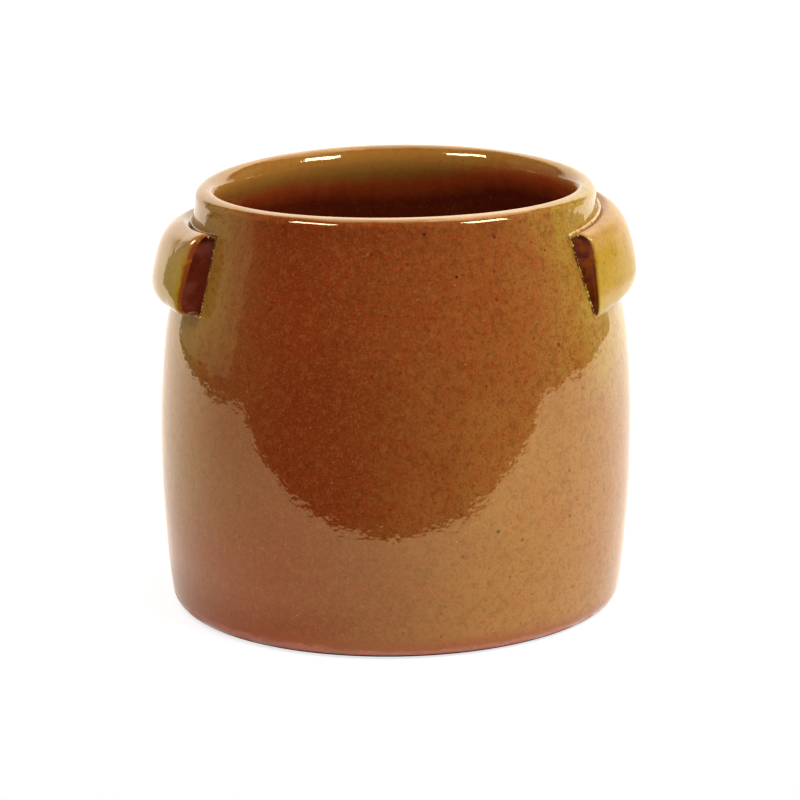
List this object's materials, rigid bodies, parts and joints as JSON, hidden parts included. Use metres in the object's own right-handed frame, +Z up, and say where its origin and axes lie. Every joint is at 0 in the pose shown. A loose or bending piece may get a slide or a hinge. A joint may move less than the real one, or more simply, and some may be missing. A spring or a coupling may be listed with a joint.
{
  "type": "lugged planter pot",
  "caption": "Round open planter pot in glazed stoneware, with a rounded lip and two solid strap lugs luted to its shoulder.",
  "frame": {"origin": "centre of the foot on the ground", "axes": "+Z up along the pot's axis, X through the two lugs, -Y towards the viewer"},
  "size_m": [0.2458, 0.24, 0.2166],
  "materials": {
    "glaze_body": "gloss",
    "glaze_lug": "gloss",
    "glaze_slip": "gloss"
  },
  "bodies": {
    "root": {"vessel": "glaze_body", "left_lug": "glaze_lug", "right_lug": "glaze_lug", "left_lug_seam": "glaze_slip", "right_lug_seam": "glaze_slip"}
  },
  "joints": []
}
